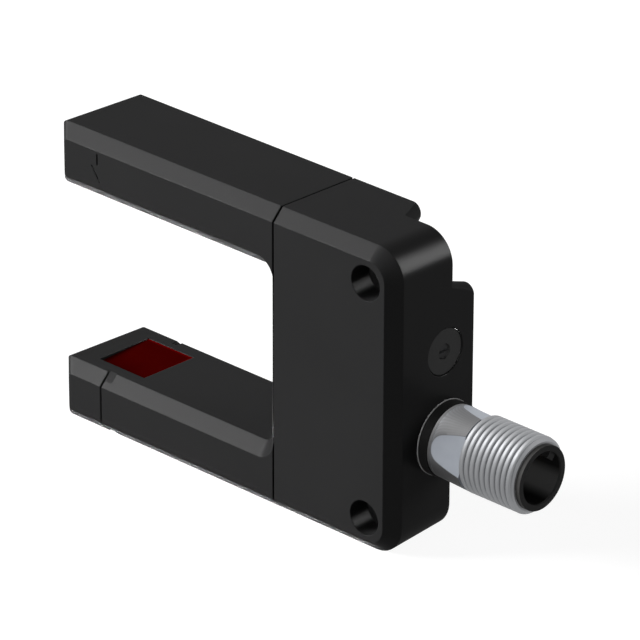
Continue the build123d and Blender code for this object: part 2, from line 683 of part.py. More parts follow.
WIPER_END = TRIMMER_FLOOR + RUNNING + WIPER_THICK
with BuildPart() as trimmer_cover:
    with BuildSketch(TRIMMER_PLANE.offset(TRIMMER_LENGTH)):
        Rectangle(TRIMMER_SIZE, TRIMMER_SIZE)
    extrude(amount=-TRIMMER_COVER)
    with BuildSketch(TRIMMER_PLANE.offset(TRIMMER_LENGTH - TRIMMER_COVER)):
        Circle(WIPER_RADIUS)
    extrude(amount=-(TRIMMER_LENGTH - TRIMMER_COVER - WIPER_END - RUNNING))
    with BuildSketch(TRIMMER_PLANE):
        Circle(ROTOR_RADIUS + RUNNING)
    extrude(amount=TRIMMER_LENGTH, mode=Mode.SUBTRACT)
trimmer_cover.part.label = "trimmer_cover"
export_step(trimmer_cover.part, "parts/trimmer_cover.step")

# Slotted rotor, from the wiper in the trimmer to just inside the disc's face
with BuildPart() as adjuster_rotor:
    with BuildSketch(TRIMMER_PLANE.offset(TRIMMER_FLOOR + RUNNING)):
        Circle(WIPER_RADIUS)
    extrude(amount=WIPER_THICK)
    with BuildSketch(ADJUSTER_PLANE.offset(-DISC_SUNK - ROTOR_SUNK)):
        Circle(ROTOR_RADIUS)
    extrude(amount=-(RIGHT - DISC_SUNK - ROTOR_SUNK - TRIMMER_LEFT - WIPER_END))
    chamfer(adjuster_rotor.edges().group_by(Axis.X)[-1], EDGE_BEVEL)
    with BuildSketch(ADJUSTER_PLANE.offset(-DISC_SUNK - ROTOR_SUNK)):
        Rectangle(SLOT_LENGTH, SLOT_WIDTH)
    extrude(amount=-SLOT_DEPTH, mode=Mode.SUBTRACT)
adjuster_rotor.part.label = "adjuster_rotor"
export_step(adjuster_rotor.part, "parts/adjuster_rotor.step")

with BuildPart() as adjuster_disc:
    with BuildSketch(ADJUSTER_PLANE.offset(-DISC_SUNK)):
        Circle(DISC_RADIUS)
    extrude(amount=-DISC_THICK)
    chamfer(adjuster_disc.edges().group_by(Axis.X)[-1], EDGE_BEVEL)
    with BuildSketch(ADJUSTER_PLANE):
        Circle(ROTOR_RADIUS + RUNNING)
    extrude(amount=-DEPTH, mode=Mode.SUBTRACT)
adjuster_disc.part.label = "adjuster_disc"
export_step(adjuster_disc.part, "parts/adjuster_disc.step")

with BuildPart() as adjuster_seal:
    with BuildSketch(ADJUSTER_PLANE.offset(-DISC_BACK)):
        Circle(SEAL_HOLE_RADIUS - SLIP)
        Circle(ROTOR_RADIUS + RUNNING, mode=Mode.SUBTRACT)
    extrude(amount=-(RIGHT - DISC_BACK - TRIMMER_LEFT - TRIMMER_LENGTH))
adjuster_seal.part.label = "adjuster_seal"
export_step(adjuster_seal.part, "parts/adjuster_seal.step")


# Connector, turned about the plug axis
# Each profile is drawn in a plane through that axis, with x outwards from the right face
TURNING_PLANE = Plane(origin=(RIGHT, PLUG_Y, PLUG_Z), x_dir=(1, 0, 0), z_dir=(0, -1, 0))
PLUG_AXIS = Axis((RIGHT, PLUG_Y, PLUG_Z), (1, 0, 0))

with BuildPart() as connector_collar:
    with BuildSketch(TURNING_PLANE):
        with BuildLine():
            Polyline(
                (GASKET_THICK, SEAL_OUTER_RADIUS + SLIP),
                (GASKET_THICK, COLLAR_RADIUS),
                (COLLAR_LENGTH, COLLAR_RADIUS),
                (COLLAR_LENGTH, STEM_RADIUS),
                (SEAL_THICK, STEM_RADIUS),
                (SEAL_THICK, SEAL_OUTER_RADIUS + SLIP),
                close=True,
            )
        make_face()
    revolve(axis=PLUG_AXIS)
connector_collar.part.label = "connector_collar"
export_step(connector_collar.part, "parts/connector_collar.step")

# The seal has a thin lip that shows between the collar and the wall
with BuildPart() as connector_seal:
    with BuildSketch(TURNING_PLANE):
        with BuildLine():
            Polyline(
                (0, STEM_RADIUS),
                (0, GASKET_RADIUS),
                (GASKET_THICK, GASKET_RADIUS),
                (GASKET_THICK, SEAL_OUTER_RADIUS),
                (SEAL_THICK, SEAL_OUTER_RADIUS),
                (SEAL_THICK, STEM_RADIUS),
                close=True,
            )
        make_face()
    revolve(axis=PLUG_AXIS)
connector_seal.part.label = "connector_seal"
export_step(connector_seal.part, "parts/connector_seal.step")

# Metal sleeve: stem in the wall, slightly conical neck, relief groove and M12 thread barrel
with BuildPart() as connector_sleeve:
    with BuildSketch(TURNING_PLANE):
        with BuildLine():
            Polyline(
                (STEM_END, SLEEVE_BACK_RADIUS),
                (STEM_END, STEM_RADIUS),
                (-GROOVE_START - GROOVE_WIDTH, STEM_RADIUS),
                (-GROOVE_START - GROOVE_WIDTH, STEM_RADIUS - GROOVE_DEPTH),
                (-GROOVE_START, STEM_RADIUS - GROOVE_DEPTH),
                (-GROOVE_START, STEM_RADIUS),
                (COLLAR_LENGTH, STEM_RADIUS),
                (COLLAR_LENGTH, NECK_START_RADIUS),
                (NECK_END, NECK_END_RADIUS),
                (NECK_END, RELIEF_RADIUS),
                (THREAD_START, RELIEF_RADIUS),
                (THREAD_START, THREAD_RADIUS),
                (THREAD_END - THREAD_DEPTH, THREAD_RADIUS),
                (THREAD_END, THREAD_RADIUS - THREAD_DEPTH),
                (THREAD_END, CARRIER_RADIUS + SLIP),
                (CARRIER_STEP, CARRIER_RADIUS + SLIP),
                (CARRIER_STEP, SLEEVE_BACK_RADIUS),
                close=True,
            )
        make_face()
    revolve(axis=PLUG_AXIS)
    # Scooped flats that deepen from the collar to the thread
    for angle in SCOOP_ANGLES:
        radial = Plane.YZ.rotated((angle, 0, 0)).x_dir
        tangential = Vector(1, 0, 0).cross(radial)
        with BuildSketch(Plane(PLUG_PLANE.origin, x_dir=(1, 0, 0), z_dir=-tangential)):
            with BuildLine():
                Spline(*SCOOP_CURVE)
                Polyline(
                    SCOOP_CURVE[-1],
                    (SCOOP_CURVE[-1][0], 2 * THREAD_RADIUS),
                    (SCOOP_CURVE[0][0], 2 * THREAD_RADIUS),
                    SCOOP_CURVE[0],
                )
            make_face()
        extrude(amount=THREAD_RADIUS, both=True, mode=Mode.SUBTRACT)
connector_sleeve.part.label = "connector_sleeve"
export_step(connector_sleeve.part, "parts/connector_sleeve.step")

# Contact carrier with the socket for the mating plug and its key
with BuildPart() as contact_carrier:
    with BuildSketch(TURNING_PLANE):
        with BuildLine():
            Polyline(
                (CARRIER_BACK, 0),
                (CARRIER_BACK, CARRIER_BACK_RADIUS),
                (CARRIER_STEP, CARRIER_BACK_RADIUS),
                (CARRIER_STEP, CARRIER_RADIUS),
                (THREAD_END, CARRIER_RADIUS),
                (THREAD_END, CARRIER_LIP_RADIUS),
                (CARRIER_END, CARRIER_LIP_RADIUS),
                (CARRIER_END, CARRIER_BORE_RADIUS),
                (CARRIER_FLOOR, CARRIER_BORE_RADIUS),
                (CARRIER_FLOOR, 0),
                close=True,
            )
        make_face()
    revolve(axis=PLUG_AXIS)
    with BuildSketch(PLUG_PLANE.offset(CARRIER_FLOOR)):
        with PolarLocations(KEY_MIDDLE_RADIUS, 1, start_angle=KEY_ANGLE):
            Rectangle(KEY_TALL, KEY_WIDTH)
    extrude(amount=CARRIER_END - KEY_SUNK - CARRIER_FLOOR)
    with BuildSketch(PLUG_PLANE.offset(CARRIER_BACK)):
        with PolarLocations(PIN_CIRCLE_RADIUS, 4, start_angle=PIN_START_ANGLE):
            Circle(PIN_RADIUS)
    extrude(amount=CARRIER_END, mode=Mode.SUBTRACT)
contact_carrier.part.label = "contact_carrier"
export_step(contact_carrier.part, "parts/contact_carrier.step")

# Contact pins and the wires from their tails to the main board
for number in range(1, 5):
    angle = math.radians(PIN_START_ANGLE + 90 * (number - 1))
    pin_y = PIN_CIRCLE_RADIUS * math.cos(angle)
    pin_z = PIN_CIRCLE_RADIUS * math.sin(angle)
    with BuildPart() as contact_pin:
        with BuildSketch(PLUG_PLANE.offset(PIN_TAIL)):
            with Locations((pin_y, pin_z)):
                Circle(PIN_RADIUS)
        extrude(amount=PIN_TIP - PIN_TAIL)
        fillet(contact_pin.edges().group_by(Axis.X)[-1], PIN_ROUND)
    contact_pin.part.label = "contact_pin_" + str(number)
    export_step(contact_pin.part, "parts/" + contact_pin.part.label + ".step")

    # The two rear wires reach further in before they turn to the board
    tail = Vector(RIGHT + PIN_TAIL, PLUG_Y + pin_y, PLUG_Z + pin_z)
    reach = WIRE_REACH + (WIRE_STEP if pin_y > 0 else 0)
    with BuildPart() as contact_lead:
        with BuildLine() as route:
            FilletPolyline(
                tail,
                (tail.X - reach, tail.Y, tail.Z),
                (tail.X - reach, BOARD_BACK, tail.Z),
                radius=WIRE_BEND,
            )
        with BuildSketch(Plane(tail, x_dir=(0, 1, 0), z_dir=(-1, 0, 0))):
            Circle(WIRE_RADIUS)
        sweep(path=route.line)
    contact_lead.part.label = "contact_lead_" + str(number)
    export_step(contact_lead.part, "parts/" + contact_lead.part.label + ".step")
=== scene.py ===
import bpy
import bmesh
import json
import math
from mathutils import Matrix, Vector


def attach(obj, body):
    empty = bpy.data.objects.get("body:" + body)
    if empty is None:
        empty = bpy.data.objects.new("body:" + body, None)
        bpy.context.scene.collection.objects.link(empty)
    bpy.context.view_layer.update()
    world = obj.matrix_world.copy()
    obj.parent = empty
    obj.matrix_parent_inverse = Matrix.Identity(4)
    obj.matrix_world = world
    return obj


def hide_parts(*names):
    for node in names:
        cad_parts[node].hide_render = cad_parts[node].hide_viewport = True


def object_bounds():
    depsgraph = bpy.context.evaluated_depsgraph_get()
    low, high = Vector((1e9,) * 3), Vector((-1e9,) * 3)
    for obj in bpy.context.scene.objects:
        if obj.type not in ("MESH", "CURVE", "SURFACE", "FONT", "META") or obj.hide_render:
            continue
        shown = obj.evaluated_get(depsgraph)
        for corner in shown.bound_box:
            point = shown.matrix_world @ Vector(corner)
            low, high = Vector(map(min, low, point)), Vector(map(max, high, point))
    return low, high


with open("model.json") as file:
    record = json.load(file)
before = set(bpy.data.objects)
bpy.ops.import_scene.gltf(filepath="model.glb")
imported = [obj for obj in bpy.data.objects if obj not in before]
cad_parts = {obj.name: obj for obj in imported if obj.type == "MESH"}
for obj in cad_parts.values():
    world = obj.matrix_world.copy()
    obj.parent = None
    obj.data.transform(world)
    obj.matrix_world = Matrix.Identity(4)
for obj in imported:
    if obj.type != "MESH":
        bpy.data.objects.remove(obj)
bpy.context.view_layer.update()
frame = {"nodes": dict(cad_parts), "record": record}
nodes = frame["nodes"]
scene = bpy.context.scene

MM = 0.001

# Right face of the body and axis of the plug, in metres, as the CAD has them
FACE_X = 0.00565
PLUG_Y = 0.0112
PLUG_Z = -0.008

# Camera of the photograph: angles in degrees, lens and sensor in millimetres, lengths in metres
CAMERA_AZIMUTH = 42.8267
CAMERA_ELEVATION = 26.4289
CAMERA_ROLL = 0.1347
CAMERA_DISTANCE = 0.80988
CAMERA_AIM = Vector((-0.008429, -0.000569, 0.010688))
CAMERA_LENS = 312.073
CAMERA_SENSOR = 36.0
CAMERA_NEAR = 0.05
CAMERA_FAR = 20.0


def add_camera():
    azimuth = math.radians(CAMERA_AZIMUTH)
    elevation = math.radians(CAMERA_ELEVATION)
    roll = math.radians(CAMERA_ROLL)
    back = Vector((
        math.sin(azimuth) * math.cos(elevation),
        -math.cos(azimuth) * math.cos(elevation),
        math.sin(elevation),
    ))
    data = bpy.data.cameras.new("camera")
    data.sensor_width = CAMERA_SENSOR
    data.lens = CAMERA_LENS
    data.clip_start = CAMERA_NEAR
    data.clip_end = CAMERA_FAR
    camera = bpy.data.objects.new("camera", data)
    scene.collection.objects.link(camera)
    turned = (-back).to_track_quat("-Z", "Y").to_matrix()
    right, up = turned.col[0].copy(), turned.col[1].copy()
    turned.col[0] = math.cos(roll) * right + math.sin(roll) * up
    turned.col[1] = -math.sin(roll) * right + math.cos(roll) * up
    camera.matrix_world = turned.to_4x4()
    camera.location = CAMERA_AIM + back * CAMERA_DISTANCE
    scene.camera = camera


# Scales of the noises, in waves per metre
SLOW_DRIFT = 55.0
GLOSS_PATCHES = 320.0
MOULD_GRAIN = 9000.0
CARRIER_GRAIN = 400.0
PLATE_DRIFT = 260.0
PLATE_PATCHES = 900.0
TURNING_LINES = (30000.0, 120.0, 120.0)
PANE_DRIFT = 90.0
PANE_PATCHES = 500.0
LENS_DRIFT = 200.0

# Detail of the noises
FINE_DETAIL = 2.0
PLAIN_DETAIL = 3.0
RICH_DETAIL = 4.0

# Strength and depth in metres of the bumps
MOULD_BUMP = 0.12
HOUSING_BUMP = 0.10
GRAIN_DEPTH = 0.00002
LINE_BUMP = 0.05
LINE_DEPTH = 0.00001

# How far the roughness of a surface wanders either way, and that of the housing's gloss
ROUGH_SPREAD = 0.03
GLOSS_SPREAD = 0.004

# Share of a noise at either end that shows one of two tones unmixed, for plastic, and for
# plate and glass
PLASTIC_MARGIN = 0.35
CLEAR_MARGIN = 0.3

# Width in metres over which one tone of a part goes over into the next
STEP_WIDTH = 0.00005

# Radius in metres at which the moulded edges look rounded, and the rays that find it
EDGE_SOFTNESS = 0.00022
EDGE_SAMPLES = 6

# Place and half width in metres of the seam between the body and the arms, and the tone of the
# painted shade in its groove
SEAM_X = -0.0184
SEAM_HALF = 0.00014
SEAM_PAINTED_SHADE = (0.003, 0.003, 0.003)

# Radii in metres of the lip of the contact carrier, at its socket and just inside its outside,
# and the place from which its mouth and key have the lip's tone
LIP_INNER = 0.00425
LIP_OUTER = 0.00509
MOUTH_X = FACE_X + 18.78 * MM

# Right and back edges in metres of the red panes, and the width of the rim of painted light along
# them
PANE_RIGHT = -0.0494
PANE_BACK = 0.0149
PANE_RIM = 0.0006

# Colour sockets of a Mix node, which holds one set of sockets for each kind of data
MIX_FIRST = 6
MIX_SECOND = 7
MIX_RESULT = 2


def grey(value):
    return (value, value, value)


def opaque(colour):
    return (*colour, 1.0)


def add_node(tree, kind, **settings):
    """Adds a node; each setting is the value of one of its sockets or else one of its options."""
    made = tree.nodes.new(kind)
    for key, value in settings.items():
        socket = key.replace("_", " ")
        if socket in made.inputs:
            made.inputs[socket].default_value = value
        else:
            setattr(made, key, value)
    return made


# Materials
class Shader:
    """A node material with one Principled shader and short ways to add nodes."""

    def __init__(self, name, **sockets):
        self.material = bpy.data.materials.new(name)
        self.material.use_nodes = True
        self.tree = self.material.node_tree
        self.tree.nodes.clear()
        output = self.node("ShaderNodeOutputMaterial")
        self.main = self.node("ShaderNodeBsdfPrincipled", **sockets)
        self.link(self.main.outputs["BSDF"], output.inputs["Surface"])
        self.place = self.node("ShaderNodeTexCoord").outputs["Object"]

    def node(self, kind, **settings):
        return add_node(self.tree, kind, **settings)

    def link(self, value, socket):
        """Links another node's output to the socket, or sets a plain value on it."""
        if isinstance(value, bpy.types.NodeSocket):
            self.tree.links.new(value, socket)
        else:
            socket.default_value = value

    def feed(self, socket, value):
        self.link(value, self.main.inputs[socket])

    def calc(self, operation, *values):
        """Math node on outputs of other nodes and plain numbers."""
        made = self.node("ShaderNodeMath", operation=operation)
        for value, socket in zip(values, made.inputs):
            self.link(value, socket)
        return made.outputs[0]

    def axis(self, name):
        """Place along one axis of the shared frame."""
        split = self.node("ShaderNodeSeparateXYZ")
        self.link(self.place, split.inputs["Vector"])
        return split.outputs[name]

    def plug_radius(self):
        """Distance from the plug axis, whatever the place along it."""
        flat = self.node("ShaderNodeVectorMath", operation="MULTIPLY_ADD")
        self.link(self.place, flat.inputs[0])
        self.link((0.0, 1.0, 1.0), flat.inputs[1])
        self.link((0.0, -PLUG_Y, -PLUG_Z), flat.inputs[2])
        length = self.node("ShaderNodeVectorMath", operation="LENGTH")
        self.link(flat.outputs["Vector"], length.inputs[0])
        return length.outputs["Value"]

    def noise(self, scale, detail=PLAIN_DETAIL, stretch=None):
        texture = self.node("ShaderNodeTexNoise", Scale=scale, Detail=detail)
        place = self.place
        if stretch is not None:
            mapping = self.node("ShaderNodeMapping", Scale=stretch)
            self.link(place, mapping.inputs["Vector"])
            place = mapping.outputs["Vector"]
        self.link(place, texture.inputs["Vector"])
        return texture.outputs["Fac"]

    def spread(self, factor, low, high):
        """Goes from low to high as the factor goes from 0 to 1."""
        made = self.node("ShaderNodeMapRange", To_Min=low, To_Max=high)
        self.link(factor, made.inputs["Value"])
        return made.outputs["Result"]

    def step(self, value, edge, width=STEP_WIDTH, curve="LINEAR"):
        """Rises from 0 to 1 over the width below edge."""
        made = self.node("ShaderNodeMapRange", From_Min=edge - width, From_Max=edge)
        made.interpolation_type = curve
        self.link(value, made.inputs["Value"])
        return made.outputs["Result"]

    def ramp(self, factor, stops):
        made = self.node("ShaderNodeValToRGB")
        elements = made.color_ramp.elements
        for position, _ in stops[1:-1]:
            elements.new(position)
        for element, (position, colour) in zip(elements, stops):
            element.position = position
            element.color = opaque(colour)
        self.link(factor, made.inputs["Fac"])
        return made.outputs["Color"]

    def tones(self, factor, dark, light, margin=PLASTIC_MARGIN):
        return self.ramp(factor, [(margin, dark), (1.0 - margin, light)])

    def blend(self, factor, first, second):
        """Goes from the first colour to the second as the factor goes from 0 to 1."""
        made = self.node("ShaderNodeMix", data_type="RGBA")
        self.link(factor, made.inputs["Factor"])
        self.link(first, made.inputs[MIX_FIRST])
        self.link(second, made.inputs[MIX_SECOND])
        return made.outputs[MIX_RESULT]

    def bump(self, height, strength, depth, after=None):
        made = self.node("ShaderNodeBump", Strength=strength, Distance=depth)
        self.link(height, made.inputs["Height"])
        if after is not None:
            self.link(after, made.inputs["Normal"])
        return made.outputs["Normal"]

    def patchy(self, factor, rough, reach=ROUGH_SPREAD, socket="Roughness"):
        """Gives the surface, or its coat, a roughness that wanders with the factor."""
        self.feed(socket, self.spread(factor, rough - reach, rough + reach))

    def turned(self, rough):
        """Gives the surface uneven gloss and faint turning lines along the plug axis."""
        self.patchy(self.noise(PLATE_PATCHES), rough)
        lines = self.noise(1.0, FINE_DETAIL, stretch=TURNING_LINES)
        self.feed("Normal", self.bump(lines, LINE_BUMP, LINE_DEPTH))


def moulded(name, dark, light, rough, level, grain=MOULD_GRAIN):
    """Moulded plastic or rubber: slight colour drift, uneven gloss and a fine grain."""
    shader = Shader(name, Specular_IOR_Level=level)
    drift = shader.noise(SLOW_DRIFT, RICH_DETAIL)
    shader.feed("Base Color", shader.tones(drift, dark, light))
    shader.patchy(shader.noise(GLOSS_PATCHES), rough)
    relief = shader.noise(grain, FINE_DETAIL)
    shader.feed("Normal", shader.bump(relief, MOULD_BUMP, GRAIN_DEPTH))
    return shader.material


def housing_plastic(name, dark, light, gloss, rough):
    """Black housing plastic: soft edges, a fine grain and a faint gloss over a matt ground, with
    painted shade and no gloss along the seam between body and arms.
    """
    shader = Shader(name, Specular_IOR_Level=0.0)
    drift = shader.noise(SLOW_DRIFT, RICH_DETAIL)
    # Painted shade: the seam's groove is coloured near black and its gloss is taken off
    seam_shade_mask = shader.calc("COMPARE", shader.axis("X"), SEAM_X, SEAM_HALF)
    body = shader.tones(drift, dark, light)
    shader.feed("Base Color", shader.blend(seam_shade_mask, body, opaque(SEAM_PAINTED_SHADE)))
    shader.feed("Coat Weight", shader.spread(seam_shade_mask, gloss, 0.0))
    shader.patchy(shader.noise(GLOSS_PATCHES), rough, GLOSS_SPREAD, "Coat Roughness")
    edge = shader.node("ShaderNodeBevel", samples=EDGE_SAMPLES, Radius=EDGE_SOFTNESS)
    relief = shader.noise(MOULD_GRAIN, FINE_DETAIL)
    surface = shader.bump(relief, HOUSING_BUMP, GRAIN_DEPTH, edge.outputs["Normal"])
    shader.feed("Normal", surface)
    shader.feed("Coat Normal", surface)
    return shader.material


def carrier_plastic(name, lip, socket, rim_painted_light, rough):
    """Dark plastic with a tone for lip and key, a lighter tone for the lip's outside that is a
    painted highlight, and a ramp of tones from the bottom of the socket to its top that is painted
    light in its lower middle, with painted shade at the bottom and over the top half."""
    shader = Shader(name, Specular_IOR_Level=0.02)
    radius = shader.plug_radius()
    grain = shader.noise(CARRIER_GRAIN)
    beside = shader.step(radius, LIP_INNER)
    before = shader.step(shader.axis("X"), MOUTH_X)
    # Painted light and shade in the socket: a ramp of tones by height from its bottom to its top
    height = shader.step(shader.axis("Z"), PLUG_Z + LIP_INNER, 2 * LIP_INNER)
    front = shader.calc("MAXIMUM", beside, before)
    colour = shader.blend(front, shader.ramp(height, socket), shader.tones(grain, *lip))
    # Painted highlight: the lip's outside gets a lighter tone
    outside = shader.step(radius, LIP_OUTER)
    shader.feed("Base Color", shader.blend(outside, colour, shader.tones(grain, *rim_painted_light)))
    shader.patchy(grain, rough)
    return shader.material


def sleeve_plating(name, thread, neck, scoop_painted_reflection, rough, metallic):
    """Nickel plate with turning lines: darker and not metallic on the round neck, metallic on
    scoops and thread, with a lighter bluish tone on the scoops that is painted reflection.
    """
    shader = Shader(name, Specular_IOR_Level=0.35)
    drift = shader.noise(PLATE_DRIFT, RICH_DETAIL)
    along = shader.axis("X")
    # The neck is a cone, so its radius less what the taper adds is the same all along it
    untapered = shader.calc("MULTIPLY_ADD", along, -NECK_TAPER, shader.plug_radius())
    skin = NECK_START_RADIUS * MM - NECK_TAPER * (FACE_X + NECK_START * MM)
    on_neck = shader.step(untapered, skin)
    past_neck = shader.step(along, FACE_X + THREAD_START * MM)
    thread, neck, scoop_painted_reflection = [
        shader.tones(drift, *tone, CLEAR_MARGIN) for tone in (thread, neck, scoop_painted_reflection)
    ]
    # Painted reflection: the scoops get a lighter bluish tone
    colour = shader.blend(past_neck, shader.blend(on_neck, scoop_painted_reflection, neck), thread)
    shader.feed("Base Color", colour)
    off_neck = shader.spread(on_neck, metallic, 0.0)
    beyond = shader.spread(past_neck, 0.0, metallic)
    shader.feed("Metallic", shader.calc("MAXIMUM", off_neck, beyond))
    shader.turned(rough)
    return shader.material


def turned_metal(name, dark, light, rough):
    """Bare plated metal with turning lines."""
    shader = Shader(name, Metallic=1.0)
    drift = shader.noise(PLATE_DRIFT, RICH_DETAIL)
    shader.feed("Base Color", shader.tones(drift, dark, light, CLEAR_MARGIN))
    shader.turned(rough)
    return shader.material


def tinted_pane(name, dark, light, rim_painted_light, rough):
    """Deep red filter pane with painted light: lighter where the light leaves it at its right and
    back edges.
    """
    shader = Shader(name, Specular_IOR_Level=0.0)
    body = shader.tones(shader.noise(PANE_DRIFT), dark, light)
    # Painted light along the pane's right and back edges
    near_right = shader.step(shader.axis("X"), PANE_RIGHT, PANE_RIM, "SMOOTHSTEP")
    near_back = shader.step(shader.axis("Y"), PANE_BACK, PANE_RIM, "SMOOTHSTEP")
    near = shader.calc("MAXIMUM", near_right, near_back)
    shader.feed("Base Color", shader.blend(near, body, opaque(rim_painted_light)))
    shader.patchy(shader.noise(PANE_PATCHES), rough)
    return shader.material


def clear_lens(name, dark, light, smooth, rough):
    shader = Shader(name, Transmission_Weight=1.0, IOR=1.49)
    drift = shader.noise(LENS_DRIFT)
    shader.feed("Base Color", shader.tones(drift, dark, light, CLEAR_MARGIN))
    shader.feed("Roughness", shader.spread(drift, smooth, rough))
    return shader.material


# Dark and light tone, roughness and specular level of the moulded parts, and a coarser or finer
# grain where they have one
MOULDED = {
    "holder_black": (grey(0.008), grey(0.012), 0.6, 0.3),
    "board_green": ((0.010, 0.085, 0.035), (0.016, 0.11, 0.045), 0.4, 0.5, 4000.0),
    "diode_package": ((0.55, 0.54, 0.50), (0.62, 0.61, 0.57), 0.45, 0.5),
    "flex_amber": ((0.42, 0.17, 0.03), (0.50, 0.22, 0.05), 0.3, 0.5),
    "socket_ivory": ((0.62, 0.58, 0.47), (0.68, 0.64, 0.53), 0.45, 0.5),
    "chip_black": ((0.012, 0.012, 0.013), (0.018, 0.018, 0.019), 0.5, 0.4, 12000.0),
    "trimmer_blue": ((0.02, 0.07, 0.30), (0.03, 0.09, 0.36), 0.4, 0.5),
    "rotor_dark": ((0.036, 0.036, 0.037), (0.040, 0.040, 0.041), 0.42, 0.04),
    "disc_grey": (grey(0.040), grey(0.044), 0.40, 0.04),
    "seal_rubber": (grey(0.006), grey(0.009), 0.7, 0.25, 6000.0),
    "collar_black": (grey(0.017), grey(0.020), 0.38, 0.03),
    "gasket_grey": (grey(0.42), grey(0.48), 0.6, 0.2, 6000.0),
    "lead_brown": ((0.10, 0.035, 0.012), (0.13, 0.05, 0.018), 0.5, 0.4),
    "lead_white": ((0.70, 0.70, 0.68), (0.78, 0.78, 0.76), 0.5, 0.4),
    "lead_blue": ((0.02, 0.10, 0.42), (0.03, 0.13, 0.50), 0.5, 0.4),
    "lead_black": (grey(0.010), grey(0.015), 0.5, 0.4),
}


def make_materials():
    made = {name: moulded(name, *values) for name, values in MOULDED.items()}
    made["housing_black"] = housing_plastic(
        "housing_black",
        dark=(0.0183, 0.0183, 0.0186),
        light=(0.0197, 0.0197, 0.0200),
        gloss=0.08,
        rough=0.28,
    )
    made["window_red"] = tinted_pane(
        "window_red",
        dark=(0.037, 0.0003, 0.0003),
        light=(0.049, 0.0005, 0.0004),
        # The rim tone is painted light along the pane's right and back edges
        rim_painted_light=(0.13, 0.001, 0.001),
        rough=0.25,
    )
    made["lens_clear"] = clear_lens(
        "lens_clear",
        dark=(0.9, 0.92, 0.93),
        light=(0.96, 0.97, 0.97),
        smooth=0.03,
        rough=0.06,
    )
    made["sleeve_metal"] = sleeve_plating(
        "sleeve_metal",
        thread=((0.26, 0.265, 0.275), (0.285, 0.29, 0.30)),
        neck=((0.096, 0.096, 0.098), (0.11, 0.11, 0.112)),
        # The scoops' lighter bluish tone is painted reflection
        scoop_painted_reflection=((0.30, 0.32, 0.355), (0.33, 0.35, 0.385)),
        rough=0.60,
        metallic=0.85,
    )
    made["carrier_black"] = carrier_plastic(
        "carrier_black",
        lip=(grey(0.029), grey(0.032)),
        # The socket's tones are painted light, with painted shade at its bottom and over its top
        # half; the lighter rim tone is a painted highlight
        socket=[(0.02, grey(0.003)), (0.11, grey(0.05)), (0.335, grey(0.05)), (0.5, grey(0.008))],
        rim_painted_light=((0.055, 0.054, 0.053), (0.062, 0.061, 0.060)),
        rough=0.45,
    )
    made["pin_gold"] = turned_metal(
        "pin_gold",
        dark=(0.85, 0.58, 0.22),
        light=(0.92, 0.66, 0.30),
        rough=0.25,
    )
    return made


def dress_nodes(materials):
    """Gives every CAD node the scene's material for its slot in the record."""
    for row in frame["record"]["subparts"]:
        data = nodes[row["node"]].data
        data.materials.clear()
        data.materials.append(materials[row["material_slot"]])


# Connector sleeve with its real thread
# Lengths are millimetres along the plug axis from the right face, as in the CAD profile
BORE_RADIUS = 4.8
BORE_STEP = 8.6
BACK_BORE = 3.45
STEM_END = -2.6
STEM_RADIUS = 4.1
GROOVE_RADIUS = 3.8
GROOVE_ENDS = (-1.4, -0.6)
NECK_START = 1.75
NECK_START_RADIUS = 5.69
NECK_END = 7.8
NECK_END_RADIUS = 5.95
NECK_TAPER = (NECK_END_RADIUS - NECK_START_RADIUS) / (NECK_END - NECK_START)
RELIEF_RADIUS = 5.15

# Thread: its power makes round crests with narrow roots, and the samples, in pitches from a
# crest, lie closest at the roots
THREAD_START = 8.0
THREAD_END = 18.3
THREAD_RADIUS = 6.0
THREAD_CHAMFER = 0.6
THREAD_PITCH = 1.0
THREAD_DEPTH = 0.42
THREAD_POWER = 4.5
THREAD_SAMPLES = (
    -0.5, -0.48, -0.455, -0.42, -0.37, -0.30, -0.18,
    0.0, 0.18, 0.30, 0.37, 0.42, 0.455, 0.48,
)

# Scooped flats: the way that each faces in degrees, places along the axis with the distance of
# the flats from it there, and the length of round neck kept just before them
SCOOP_ANGLES = (64.0, 166.0, 295.0)
SCOOP_CURVE = ((2.3, 5.72), (2.6, 5.58), (3.3, 5.4), (4.7, 5.25), (6.1, 5.11), (8.0, 4.97))
SCOOP_LEAD = 0.05

# Points round the sleeve, points on half a flat, rows of points along the flats, and how
# closely those rows crowd at the flats' start
RING = 144
SCOOP_SIDE = 14
SCOOP_ROWS = 26
SCOOP_CROWDING = 1.8

# Distance in metres under which points are joined, and angle in degrees from which edges show
WELD = 2e-7
SHARP_ANGLE = 28.0


def scoop_depth(u):
    """Distance of the scooped flat from the axis at u, a smooth curve through the CAD's points."""
    points = SCOOP_CURVE
    last = len(points) - 1
    k = max(i for i in range(last) if i == 0 or u >= points[i][0])
    slopes = []
    for i in (k, k + 1):
        before, after = points[max(i - 1, 0)], points[min(i + 1, last)]
        slopes.append((after[1] - before[1]) / (after[0] - before[0]))
    (u0, d0), (u1, d1) = points[k], points[k + 1]
    span = u1 - u0
    t = (u - u0) / span
    return (
        (2 * t**3 - 3 * t**2 + 1) * d0
        + (t**3 - 2 * t**2 + t) * span * slopes[0]
        + (-2 * t**3 + 3 * t**2) * d1
        + (t**3 - t**2) * span * slopes[1]
    )


def neck_radius(u):
    return NECK_START_RADIUS + NECK_TAPER * (u - NECK_START)


def plain_ring(u, radius):
    return [(u, radius, 2 * math.pi * j / RING) for j in range(RING)]


